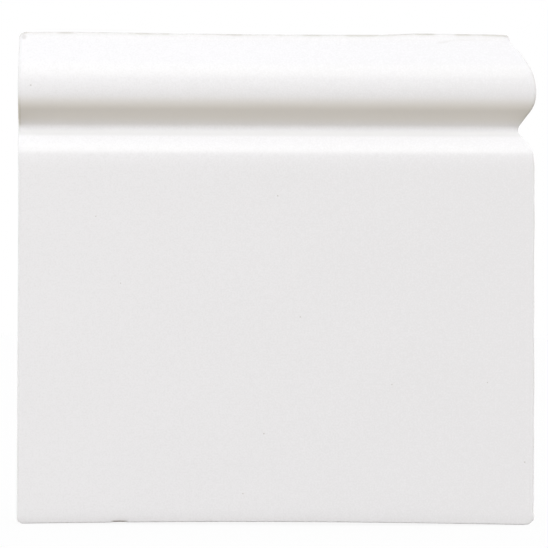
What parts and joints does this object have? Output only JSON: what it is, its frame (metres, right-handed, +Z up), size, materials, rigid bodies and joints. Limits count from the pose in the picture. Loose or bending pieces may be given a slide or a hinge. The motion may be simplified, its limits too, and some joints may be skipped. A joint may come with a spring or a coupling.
{
  "type": "skirting external corner piece",
  "caption": "Glazed skirting tile with a rounded nose and groove above a plain face, square at one end and mitred at the other to turn an outside corner of a wall.",
  "frame": {"origin": "the wall's outside corner at floor level, where the mitre meets the wall plane", "axes": "+X along the wall towards the mitred end, +Y into the wall with the glazed front facing -Y, +Z up"},
  "size_m": [0.1598, 0.017, 0.152],
  "materials": {
    "glaze": "gloss white glaze on the face, top and arrises, with an unglazed back"
  },
  "bodies": {
    "root": {"corner_tile": "glaze"}
  },
  "joints": []
}
